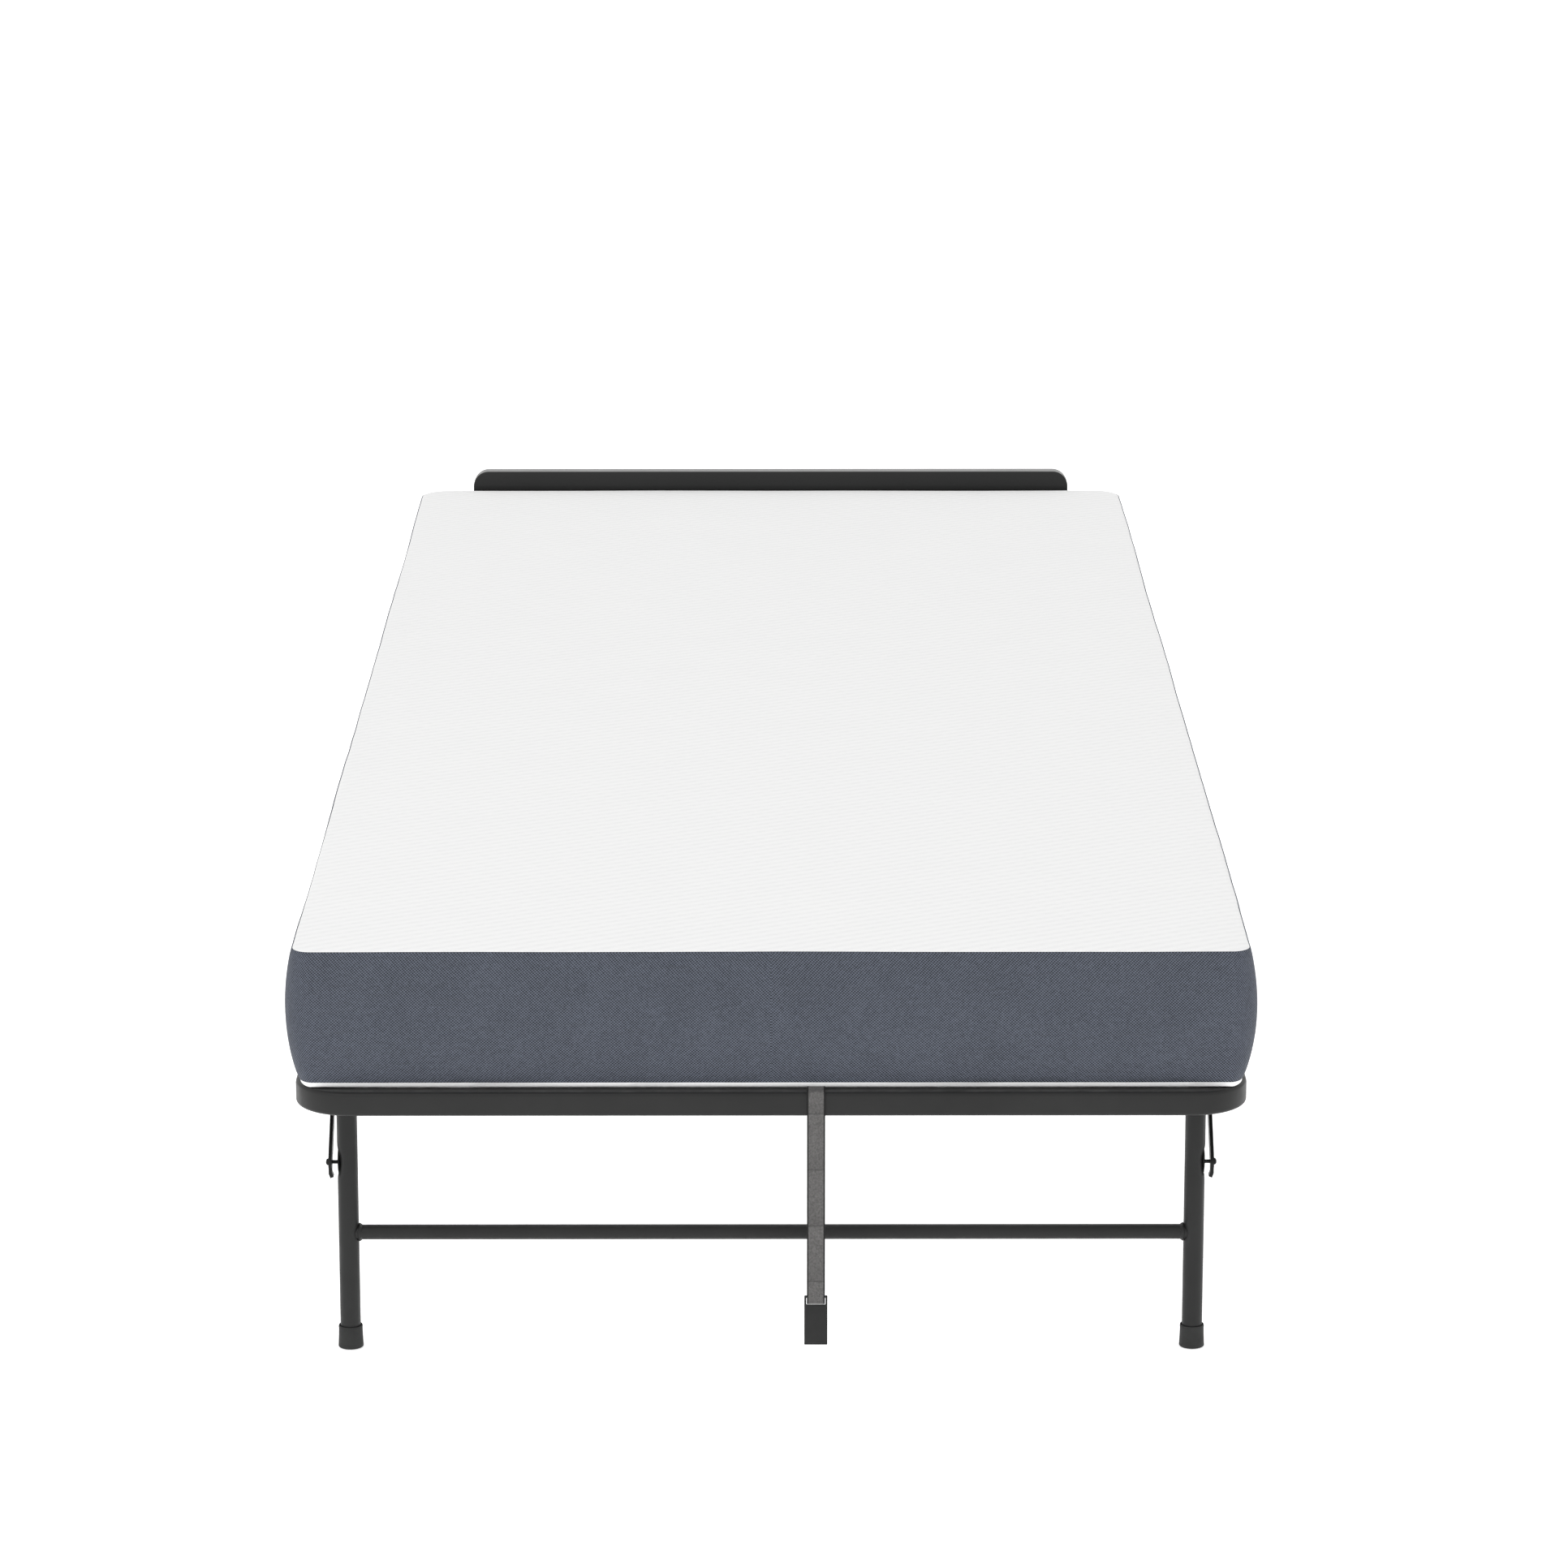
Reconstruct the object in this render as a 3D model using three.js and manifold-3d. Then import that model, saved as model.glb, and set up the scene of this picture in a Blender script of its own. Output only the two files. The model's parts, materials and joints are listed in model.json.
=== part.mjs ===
// A folding rollaway bed. Its two decks fold up from a centre frame on casters.
// Millimetres. +Z is up, -Y is the foot end, +X is to the right seen from the foot end.
// The origin is on the floor under the middle of the bed.
import * as THREE from "three";
import { mergeVertices } from "three/addons/utils/BufferGeometryUtils.js";
import Module from "manifold-3d";

const wasm = await Module();
wasm.setup();

// ---- driving dimensions ----
const GAP = 0.3; // between touching pieces

const RAIL = 20; // side of the square deck tube
const RAIL_TOP = 241;
const RAIL_MID = RAIL_TOP - RAIL / 2;
const RAIL_BOTTOM = RAIL_TOP - RAIL;
const HALF_WIDTH = 391; // to the outside of the rails
const HALF_LENGTH = 966.5; // to the outside of the end rails
const BEND = 36; // radius of the rail's corners, to the tube's middle
const RAIL_X = HALF_WIDTH - RAIL / 2;
const INNER_X = HALF_WIDTH - RAIL; // the rails' inner faces

const HINGE_Y = 150; // deck hinges, from the middle of the bed
const DECK_END = 12; // the deck rails run this far past the hinge, to the middle
const SIDE_RAIL_HALF = 133; // half the length of the centre frame's side rails

const PLATE = 3; // thickness of the plates inside the rails
const PLATE_X = INNER_X - GAP - PLATE / 2; // their middle
const NUT_X = 364.4; // the middle of the hinge bolts' nuts
const BOLT_R = 4;
const BOLT_HEAD_R = 7;
const HINGE_PLATE_HEIGHT = 24;
const HINGE_PLATE_DROP = 6; // its middle, below the rails' middle

const MATTRESS_HALF_WIDTH = 394;
const MATTRESS_HALF_LENGTH = 952;
const MATTRESS_BOTTOM = RAIL_TOP + GAP;
const MATTRESS_TOP = 355.6;
const MATTRESS_BEVEL = 12;
const MATTRESS_CORNER = 28;
const MATTRESS_SPLIT = 275; // the part between these crosses both hinges, and bends

const LEG_X = 351.3;
const LEG_Y = 900.5;
const LEG_R = 8.5;
const LEG_TOP = 224;
const LEG_PIVOT_Z = 215;
const PIVOT_R = 4;
const LEG_FOOT_FLOOR = 4.5; // rubber under the end of the leg
const CROSSBAR_R = 6.25;
const CROSSBAR_Z = 100;
const FOOT_HEIGHT = 19;
const FOOT_TOP_R = 10;
const FOOT_BOTTOM_R = 10.5;

const RIVET_Z = 161.2; // the brace turns on this rivet
const BRACE_X = 365.55;
const BRACE_THICK = 2.8;
const BRACE_ANGLE = Math.PI / 4; // rises to the middle of the bed
const BRACE_HALF = 6.5; // half its width
const BRACE_REACH = 76.2; // from the rivet to the lock stud
const BRACE_TIP = 7.5; // past the stud
const BRACE_TAIL = 12.6;
const TAIL_HALF = 4; // half the tail's width
const TAIL_BEND = 0.35; // radians
const NOTCH_HALF = 3;
const STUD_R = 2.5;
const STUD_Y = LEG_Y - 54; // the lock stud, level with the leg's pivot
const BRACKET_BOTTOM = 209.4; // clear of the rivet's head when the leg is folded
const BRACKET_TOP = 238;
const BRACKET_PAST_LEG = 17; // the bracket runs this far past the leg's pivot
const BRACKET_PAST_STUD = 15;
const RIVET_R = 1.55;
const RIVET_HEAD_R = 2.8;
const RIVET_HEAD = 2.1; // the head's height
const RUNNING = 0.4; // extra radius of a hole that a pin turns in
const DENT = [2.7, 8, 13]; // half sizes of the dent pressed into the leg at the rivet

const CASTER_Y = 95;
const POST_R = 9.5; // the tubes that hold the casters
const CASTER_X = INNER_X - GAP - PLATE - GAP - POST_R;
const POST_BOTTOM = 92;
const POST_TOP = 236;
const POST_BAR_Z = 180;
const SOCKET_R = 5.6;
const SOCKET_DEPTH = 40;
const STEM_R = 5.2;
const WHEEL_R = 25;
const WHEEL_WIDTH = 18;
const TRAIL = 18; // the wheel's axle, behind the stem
const AXLE_R = 3;
const FORK_IN = 11; // from the wheel's middle to the fork's arms
const FORK_THICK = 2.5;
const FORK_TOP = 58;
const PEDAL_PIVOT_Z = 53.65;
const PEDAL_PIN_R = 1.6;
const FORK_FRONT = -13; // the fork's front edge, from the stem
const FORK_BACK = 15;
const FORK_EYE_R = 7; // round the axle
const LUG = 5; // thickness of the lugs that hold the pedal's pin
const COLLAR_R = 13;
const COLLAR_TOP = 70;
const NECK_R = 9;
const HUB_R = 8;
const TREAD_EDGE = 2.5; // the tyre's chamfer, and how far the wheel's disc is set in
const PEDAL_TIP = [48, 49]; // the pedal's far end, behind and above the stem's foot
const PEDAL_TOP = 55.4;
const PEDAL_SHOE_Z = 51.9; // just over the tread

const SLAT_WIDTH = 40;
const SLAT_THICK = 2.3;
const SLAT_TOP = RAIL_TOP - GAP;
const DECK_SLATS = [300, 490, 680, 870];
const CENTER_SLATS = [-62, 62];

const PANEL_WIDTH = 671;
const PANEL_TOP = 376.4;
const PANEL_BOTTOM = 244;
const PANEL_FRONT = 955;
const PANEL_THICK = 19;
const PANEL_CORNER = 17;
const BAR_X = 230; // the bars that hold the panel
const BAR_WIDTH = 25;
const BAR_THICK = 3;
const BAR_TOP = 335;

const STRAP_X = 36.6;
const STRAP_WIDTH = 14.8;
const STRAP_THICK = 1.3;
const STRAP_FOLD_Z = 218; // below this the strap hangs free
const STRAP_END_Z = 60;
const BUCKLE_WIDTH = 19;
const BUCKLE_TOP = 66.6;
const BUCKLE_BOTTOM = 24.2;
const BUCKLE_THICK = 1.6;
const BUCKLE_WALL = 1.6;
const SLOT_BOTTOM = 58.8;
const HOOK_WIDTH = 12;
const HOOK_THICK = 1.5;
const HOOK_DEPTH = 6.5;
const HOOK_BOTTOM = 28;
const HOOK_TIP = 42; // top of the hook's free leg
const HOOK_TOP = 54;

// ---- materials ----
const paint = (color, roughness, metalness) => () =>
  new THREE.MeshStandardMaterial({ color, roughness, metalness });
const coated = paint(0x3c3d3c, 0.45, 0.3);
const plated = paint(0x8d8f90, 0.35, 0.9);
const bolted = paint(0x2c2d2c, 0.4, 0.6);
const rubber = paint(0x353635, 0.8, 0);
const webbing = paint(0x6e6d6c, 0.9, 0);
const ticking = paint(0xececec, 0.95, 0);
const panelled = paint(0x323232, 0.5, 0.1);
const tread = paint(0x505254, 0.7, 0);

// ---- shared shapes ----
const group = new THREE.Group();

function add(name, geometry, material, parent = group) {
  const mesh = new THREE.Mesh(geometry, material());
  mesh.name = name;
  parent.add(mesh);
  return mesh;
}

// A path whose stations are exactly the given points, so that straight stretches take one step.
class StationPath extends THREE.Curve {
  constructor(points) {
    super();
    this.points = points;
  }
  getPoint(t, target = new THREE.Vector3()) {
    const last = this.points.length - 1;
    const at = Math.min(Math.max(t, 0), 1) * last;
    const i = Math.min(Math.floor(at), last - 1);
    return target.lerpVectors(this.points[i], this.points[i + 1], at - i);
  }
  getPointAt(u, target) {
    return this.getPoint(u, target);
  }
  getTangentAt(u, target) {
    return this.getTangent(u, target);
  }
}

function roundedRectangle(width, height, radius) {
  const [x, y] = [width / 2, height / 2];
  const shape = new THREE.Shape();
  shape.moveTo(x, -y + radius);
  shape.absarc(x - radius, y - radius, radius, 0, Math.PI / 2);
  shape.absarc(-x + radius, y - radius, radius, Math.PI / 2, Math.PI);
  shape.absarc(-x + radius, -y + radius, radius, Math.PI, 1.5 * Math.PI);
  shape.absarc(x - radius, -y + radius, radius, 1.5 * Math.PI, 2 * Math.PI);
  return shape;
}

// The shape lies in the YZ plane (its x along +Y, its y along +Z) and is thick along X, about x.
function plateAcross(shape, x, thick, curveSegments = 8) {
  const g = new THREE.ExtrudeGeometry(shape, { depth: thick, bevelEnabled: false, curveSegments });
  g.applyMatrix4(new THREE.Matrix4().set(0, 0, 1, x - thick / 2, 1, 0, 0, 0, 0, 1, 0, 0, 0, 0, 0, 1));
  return g;
}

// The shape lies in the XZ plane and is thick along Y, from y upwards.
function plateFacing(shape, y, thick, curveSegments = 8) {
  const g = new THREE.ExtrudeGeometry(shape, { depth: thick, bevelEnabled: false, curveSegments });
  g.applyMatrix4(new THREE.Matrix4().set(1, 0, 0, 0, 0, 0, -1, y + thick, 0, 1, 0, 0, 0, 0, 0, 1));
  return g;
}

function rodAlongX(radius, from, to, y, z, segments = 16) {
  const g = new THREE.CylinderGeometry(radius, radius, Math.abs(to - from), segments);
  g.rotateZ(Math.PI / 2);
  g.translate((from + to) / 2, y, z);
  return g;
}

function rodAlongZ(radius, x, y, from, to, segments = 20) {
  const g = new THREE.CylinderGeometry(radius, radius, to - from, segments);
  g.rotateX(Math.PI / 2);
  g.translate(x, y, (from + to) / 2);
  return g;
}

function box(x0, x1, y0, y1, z0, z1) {
  const g = new THREE.BoxGeometry(x1 - x0, y1 - y0, z1 - z0);
  g.translate((x0 + x1) / 2, (y0 + y1) / 2, (z0 + z1) / 2);
  return g;
}

function lathe(points, segments) {
  return new THREE.LatheGeometry(points.map(([r, z]) => new THREE.Vector2(r, z)), segments);
}

function solid(geometry) {
  const bare = geometry.clone();
  bare.deleteAttribute("normal");
  bare.deleteAttribute("uv");
  const merged = mergeVertices(bare, 1e-4);
  return new wasm.Manifold(
    new wasm.Mesh({
      numProp: 3,
      vertProperties: new Float32Array(merged.attributes.position.array),
      triVerts: new Uint32Array(merged.index.array),
    }),
  );
}

function toGeometry(manifold) {
  const mesh = manifold.getMesh();
  const g = new THREE.BufferGeometry();
  g.setAttribute("position", new THREE.BufferAttribute(mesh.vertProperties, 3));
  g.setIndex(new THREE.BufferAttribute(mesh.triVerts, 1));
  g.computeVertexNormals();
  return g;
}

const joined = (...parts) => toGeometry(parts.map(solid).reduce((a, b) => a.add(b)));
const cut = (body, ...tools) => toGeometry(tools.map(solid).reduce((a, b) => a.subtract(b), solid(body)));

// ---- mattress ----
// Plan outline of a stretch of the mattress; rounded corners only at its free end.
function mattressPlan(from, to) {
  const w = MATTRESS_HALF_WIDTH - MATTRESS_BEVEL;
  const r = MATTRESS_CORNER - MATTRESS_BEVEL;
  const shape = new THREE.Shape();
  const end = Math.sign(to) * (Math.abs(to) - MATTRESS_BEVEL);
  const start = from + Math.sign(to) * MATTRESS_BEVEL;
  if (end < 0) {
    shape.moveTo(w, start);
    shape.lineTo(-w, start);
    shape.absarc(-w + r, end + r, r, Math.PI, 1.5 * Math.PI);
    shape.absarc(w - r, end + r, r, 1.5 * Math.PI, 2 * Math.PI);
  } else {
    shape.moveTo(-w, start);
    shape.lineTo(w, start);
    shape.absarc(w - r, end - r, r, 0, Math.PI / 2);
    shape.absarc(-w + r, end - r, r, Math.PI / 2, Math.PI);
  }
  return shape;
}

function mattressSolid(plan) {
  const g = new THREE.ExtrudeGeometry(plan, {
    depth: MATTRESS_TOP - MATTRESS_BOTTOM - 2 * MATTRESS_BEVEL,
    bevelThickness: MATTRESS_BEVEL,
    bevelSize: MATTRESS_BEVEL,
    bevelSegments: 3,
    curveSegments: 5,
  });
  g.translate(0, 0, MATTRESS_BOTTOM + MATTRESS_BEVEL);
  return g;
}

function addMattress() {
  const from = MATTRESS_SPLIT;
  add("mattress_foot", mattressSolid(mattressPlan(-from, -MATTRESS_HALF_LENGTH)), ticking);
  add("mattress_head", mattressSolid(mattressPlan(from, MATTRESS_HALF_LENGTH)), ticking);
  const width = 2 * (MATTRESS_HALF_WIDTH - MATTRESS_BEVEL);
  const length = 2 * (from - GAP - MATTRESS_BEVEL);
  const middle = new THREE.Shape();
  middle.moveTo(width / 2, -length / 2);
  middle.lineTo(width / 2, length / 2);
  middle.lineTo(-width / 2, length / 2);
  middle.lineTo(-width / 2, -length / 2);
  add("mattress_center", mattressSolid(middle), ticking);
}

// ---- decks: end is -1 at the foot and 1 at the head ----
function deckRail(end) {
  const tip = end * (HALF_LENGTH - RAIL / 2);
  const turn = tip - end * BEND;
  const root = end * (HINGE_Y - DECK_END);
  const points = [new THREE.Vector3(-RAIL_X, root, RAIL_MID)];
  const steps = 8;
  for (const side of [-1, 1]) {
    for (let i = 0; i <= steps; i += 1) {
      const a = ((side < 0 ? i : steps - i) / steps) * (Math.PI / 2);
      const x = side * (RAIL_X - BEND + BEND * Math.cos(a));
      points.push(new THREE.Vector3(x, turn + end * BEND * Math.sin(a), RAIL_MID));
    }
  }
  points.push(new THREE.Vector3(RAIL_X, root, RAIL_MID));
  return new THREE.ExtrudeGeometry(roundedRectangle(RAIL, RAIL, 3), {
    steps: points.length - 1,
    extrudePath: new StationPath(points),
    curveSegments: 2,
  });
}

function slat(y) {
  const half = SLAT_WIDTH / 2;
  return box(-INNER_X + GAP, INNER_X - GAP, y - half, y + half, SLAT_TOP - SLAT_THICK, SLAT_TOP);
}

// A bolt through a deck rail and the hinge plate beside it, with a round head outside and a nut inside.
function hingeBolt(side, end) {
  const y = end * HINGE_Y;
  const at = (r, from, to, n) => rodAlongX(r, side * from, side * to, y, RAIL_MID, n);
  const shank = at(BOLT_R, NUT_X, HALF_WIDTH + 2, 12);
  const head = at(BOLT_HEAD_R, HALF_WIDTH + GAP, HALF_WIDTH + 3, 16);
  const nut = at(BOLT_HEAD_R - 0.5, NUT_X - 3, NUT_X + 2.5, 6);
  return joined(shank, head, nut);
}

function boltHole(side, end) {
  const [from, to] = [side * (NUT_X - 5), side * (HALF_WIDTH + 5)];
  return rodAlongX(BOLT_R + RUNNING, from, to, end * HINGE_Y, RAIL_MID, 12);
}

// The plate inside the rail that carries the leg's pivot and the brace's lock stud.
function legBracket(side, end) {
  const [from, to] = [LEG_Y + BRACKET_PAST_LEG, STUD_Y - BRACKET_PAST_STUD];
  const height = BRACKET_TOP - BRACKET_BOTTOM;
  const plate = plateAcross(roundedRectangle(from - to, height, 6), side * PLATE_X, PLATE, 4);
  plate.translate(0, (end * (from + to)) / 2, BRACKET_BOTTOM + height / 2);
  const at = (r, near, far, y, n) => rodAlongX(r, side * near, side * far, end * y, LEG_PIVOT_Z, n);
  const inside = LEG_X - LEG_R - GAP;
  const pivot = at(PIVOT_R, inside - 6, PLATE_X - 1, LEG_Y, 12);
  const head = at(PIVOT_R + 2.5, inside - 3, inside, LEG_Y, 16);
  const stud = at(STUD_R, BRACE_X - BRACE_THICK - 1.2, PLATE_X - 1, STUD_Y, 12);
  return joined(plate, pivot, head, stud);
}

function addDeck(name, end) {
  add(`${name}_deck_frame`, cut(deckRail(end), boltHole(-1, end), boltHole(1, end)), coated);
  DECK_SLATS.forEach((y, i) => add(`${name}_slat_${i + 1}`, slat(end * y), coated));
  for (const [label, side] of [["left", -1], ["right", 1]]) {
    add(`${name}_hinge_bolt_${label}`, hingeBolt(side, end), bolted);
    add(`${name}_leg_bracket_${label}`, legBracket(side, end), coated);
  }
}

// ---- leg frames ----
function legFrame(end) {
  const y = end * LEG_Y;
  const legs = [-1, 1].map((side) => rodAlongZ(LEG_R, side * LEG_X, y, LEG_FOOT_FLOOR, LEG_TOP));
  const bar = rodAlongX(CROSSBAR_R, -LEG_X, LEG_X, y, CROSSBAR_Z, 16);
  const dents = [-1, 1].map((side) => {
    const dent = new THREE.SphereGeometry(1, 10, 8);
    dent.scale(...DENT);
    dent.translate(side * (LEG_X + LEG_R), y, RIVET_Z + 1);
    return dent;
  });
  const past = 2 * LEG_R; // the holes' tools run past the leg
  const pivots = [-1, 1].map((side) =>
    rodAlongX(PIVOT_R + RUNNING, side * (LEG_X - past), side * (LEG_X + past), y, LEG_PIVOT_Z, 12));
  const rivets = [-1, 1].map((side) =>
    rodAlongX(RIVET_R + GAP, side * (LEG_X - 2), side * (LEG_X + past), y, RIVET_Z, 12));
  return cut(joined(...legs, bar), ...dents, ...pivots, ...rivets);
}

function rubberFoot(side, end) {
  const socket = LEG_R + 0.35;
  const g = lathe([[0, 0], [FOOT_BOTTOM_R, 0], [FOOT_BOTTOM_R, 2], [FOOT_TOP_R, FOOT_HEIGHT - 1],
    [FOOT_TOP_R - 0.6, FOOT_HEIGHT], [socket, FOOT_HEIGHT], [socket, LEG_FOOT_FLOOR - GAP],
    [0, LEG_FOOT_FLOOR - GAP]], 24);
  g.rotateX(Math.PI / 2);
  g.translate(side * LEG_X, end * LEG_Y, 0);
  return g;
}

// The rivet's shank starts inside the leg, passes through the brace and ends in a domed head.
function braceRivet(side, end) {
  const face = BRACE_X + BRACE_THICK / 2 + GAP;
  const shoulder = [RIVET_HEAD_R - 0.2, face + RIVET_HEAD / 2];
  const crown = [RIVET_R, face + RIVET_HEAD - 0.3];
  const g = lathe([[0, LEG_X], [RIVET_R, LEG_X], [RIVET_R, face], [RIVET_HEAD_R, face], shoulder, crown,
    [0, face + RIVET_HEAD]], 12);
  g.rotateX(Math.PI / 2);
  g.rotateY((side * Math.PI) / 2);
  g.translate(0, end * LEG_Y, RIVET_Z);
  return g;
}

// Drawn with the rivet at the origin and the brace along +X, its upper edge on +Y.
function braceShape() {
  const shape = new THREE.Shape();
  const length = BRACE_REACH + BRACE_TIP;
  const slant = -0.5; // how far the notch leans back for each step up
  const floor = -1.2;
  const mouth = (y) => BRACE_REACH + slant * y;
  shape.absarc(0, 0, BRACE_HALF, Math.PI / 2, 1.5 * Math.PI);
  shape.lineTo(length - 4, -BRACE_HALF);
  shape.absarc(length - 4, -BRACE_HALF + 4, 4, -Math.PI / 2, 0);
  shape.lineTo(length, BRACE_HALF - 2);
  shape.lineTo(length - 2, BRACE_HALF);
  shape.lineTo(mouth(BRACE_HALF) + NOTCH_HALF, BRACE_HALF);
  shape.lineTo(mouth(floor) + NOTCH_HALF, floor);
  shape.absarc(mouth(floor), floor, NOTCH_HALF, 0, -Math.PI, true);
  shape.lineTo(mouth(BRACE_HALF) - NOTCH_HALF, BRACE_HALF);
  return shape;
}

function brace(side, end) {
  const flat = plateAcross(braceShape(), 0, BRACE_THICK);
  const [half, bent] = [BRACE_THICK / 2, 3]; // the last 3 mm of the tail bend inwards
  const tail = box(-half, half, -TAIL_HALF, TAIL_HALF, -BRACE_TAIL + bent, 0);
  const tip = box(-half, half, -TAIL_HALF, TAIL_HALF, -bent - 0.5, 0);
  tip.rotateY(side * TAIL_BEND);
  tip.translate(side * -0.1, 0, -BRACE_TAIL + bent + GAP);
  flat.rotateX(BRACE_ANGLE);
  if (end > 0) flat.applyMatrix4(new THREE.Matrix4().makeScale(1, -1, 1));
  const body = end > 0 ? flipped(flat) : flat;
  const hole = rodAlongX(RIVET_R + GAP, -2 * BRACE_THICK, 2 * BRACE_THICK, 0, 0, 12);
  const g = cut(joined(body, tail, tip), hole);
  g.translate(side * BRACE_X, end * LEG_Y, RIVET_Z);
  return g;
}

// Turns the faces of a mirrored geometry outwards again.
function flipped(geometry) {
  const g = geometry.index ? geometry.toNonIndexed() : geometry.clone();
  const p = g.attributes.position;
  const [a, b] = [new THREE.Vector3(), new THREE.Vector3()];
  for (let i = 0; i < p.count; i += 3) {
    a.fromBufferAttribute(p, i + 1);
    b.fromBufferAttribute(p, i + 2);
    p.setXYZ(i + 1, b.x, b.y, b.z);
    p.setXYZ(i + 2, a.x, a.y, a.z);
  }
  return g;
}

function addLegs(name, end) {
  add(`${name}_leg_frame`, legFrame(end), coated);
  for (const [label, side] of [["left", -1], ["right", 1]]) {
    add(`${name}_rubber_foot_${label}`, rubberFoot(side, end), rubber);
    add(`${name}_brace_rivet_${label}`, braceRivet(side, end), bolted);
    add(`${name}_brace_${label}`, brace(side, end), bolted);
  }
}

// ---- centre frame ----
function addCenterFrame() {
  for (const [label, side] of [["left", -1], ["right", 1]]) {
    const rail = plateFacing(roundedRectangle(RAIL, RAIL, 3), -SIDE_RAIL_HALF, 2 * SIDE_RAIL_HALF, 2);
    rail.translate(side * RAIL_X, 0, RAIL_MID);
    add(`side_rail_${label}`, rail, coated);
    const shape = roundedRectangle(2 * (HINGE_Y + HINGE_PLATE_HEIGHT / 2), HINGE_PLATE_HEIGHT, 8);
    const plate = plateAcross(shape, side * PLATE_X, PLATE, 4);
    plate.translate(0, 0, RAIL_MID - HINGE_PLATE_DROP);
    add(`hinge_plate_${label}`, cut(plate, boltHole(side, -1), boltHole(side, 1)), coated);
  }
  CENTER_SLATS.forEach((y, i) => add(`center_slat_${i + 1}`, slat(y), coated));
  for (const [label, y] of [["foot", -CASTER_Y], ["head", CASTER_Y]]) {
    const posts = [-1, 1].map((side) => rodAlongZ(POST_R, side * CASTER_X, y, POST_BOTTOM, POST_TOP, 16));
    const bar = rodAlongX(POST_R - 1, -CASTER_X, CASTER_X, y, POST_BAR_Z, 12);
    const sockets = [-1, 1].map((side) =>
      rodAlongZ(SOCKET_R, side * CASTER_X, y, POST_BOTTOM - 5, POST_BOTTOM + SOCKET_DEPTH, 16));
    add(`caster_post_frame_${label}`, cut(joined(...posts, bar), ...sockets), coated);
  }
}

// ---- casters ----
// Drawn with the stem on the Z axis and the axle behind it, along +Y.
function casterFork() {
  const half = FORK_IN + FORK_THICK;
  const arm = new THREE.Shape();
  arm.moveTo(FORK_FRONT, FORK_TOP);
  arm.lineTo(FORK_FRONT, FORK_TOP - 5);
  arm.lineTo(TRAIL - FORK_EYE_R + 1, WHEEL_R - 4);
  arm.absarc(TRAIL, WHEEL_R, FORK_EYE_R, 1.25 * Math.PI, 2 * Math.PI);
  arm.lineTo(FORK_BACK, FORK_TOP);
  const arms = [-1, 1].map((side) => plateAcross(arm, side * (FORK_IN + FORK_THICK / 2), FORK_THICK));
  const bridge = box(-half, half, FORK_FRONT, FORK_BACK, FORK_TOP - 3, FORK_TOP);
  const collar = rodAlongZ(COLLAR_R, 0, 0, FORK_TOP - 1, COLLAR_TOP, 20);
  const neck = rodAlongZ(NECK_R, 0, 0, COLLAR_TOP - 1, POST_BOTTOM - GAP, 20);
  const stem = rodAlongZ(STEM_R, 0, 0, POST_BOTTOM - 1, POST_BOTTOM + SOCKET_DEPTH - 3, 16);
  const axle = rodAlongX(AXLE_R, -half - 1.5, half + 1.5, TRAIL, WHEEL_R, 12);
  const lugs = [-1, 1].map((side) => {
    const middle = side * half;
    return box(middle - LUG / 2, middle + LUG / 2, TRAIL - 4, TRAIL + 4, FORK_TOP - 9, FORK_TOP);
  });
  const pinHole = pedalPin(PEDAL_PIN_R + RUNNING, half + LUG);
  return cut(joined(...arms, bridge, collar, neck, stem, axle, ...lugs), pinHole);
}

// The disc between the hub and the tyre is set in from the tyre's sides.
function casterWheel() {
  const [half, bore, inset] = [WHEEL_WIDTH / 2, AXLE_R + RUNNING, WHEEL_WIDTH / 2 - TREAD_EDGE];
  const rim = [WHEEL_R - 7, WHEEL_R - 6, WHEEL_R - 2];
  const side = [[bore, half + 1], [HUB_R, half + 1], [HUB_R, inset], [rim[0], inset], [rim[1], half],
    [rim[2], half], [WHEEL_R, inset]];
  const other = side.map(([r, x]) => [r, -x]).reverse();
  const g = lathe([...side, ...other, side[0]].reverse(), 24);
  g.rotateZ(-Math.PI / 2);
  g.translate(0, TRAIL, WHEEL_R);
  return g;
}

function pedalPin(radius, half) {
  return rodAlongX(radius, -half, half, TRAIL, PEDAL_PIVOT_Z, 12);
}

// The pedal turns on a pin between the fork's lugs, and its shoe presses on the tread.
function brakePedal() {
  const [front, bend] = [TRAIL - 2.2, TRAIL + 8]; // the shoe, from front to where the pedal slopes down
  const profile = new THREE.Shape();
  profile.moveTo(front, PEDAL_TOP);
  profile.lineTo(front, PEDAL_SHOE_Z);
  profile.lineTo(bend, PEDAL_SHOE_Z);
  profile.lineTo(PEDAL_TIP[0] - 1, PEDAL_TIP[1] - 3);
  profile.lineTo(PEDAL_TIP[0], PEDAL_TIP[1]);
  profile.lineTo(bend + 1, PEDAL_TOP);
  return joined(plateAcross(profile, 0, 2 * (FORK_IN - 0.6)), pedalPin(PEDAL_PIN_R, FORK_IN + 4));
}

function addCasters() {
  for (const [row, sy] of [["foot", -1], ["head", 1]]) {
    for (const [label, side] of [["left", -1], ["right", 1]]) {
      const caster = new THREE.Group();
      caster.position.set(side * CASTER_X, sy * CASTER_Y, 0);
      group.add(caster);
      add(`caster_fork_${row}_${label}`, casterFork(), plated, caster);
      add(`caster_wheel_${row}_${label}`, casterWheel(), tread, caster);
      if (sy < 0) add(`brake_pedal_${label}`, brakePedal(), rubber, caster);
    }
  }
}

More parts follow.
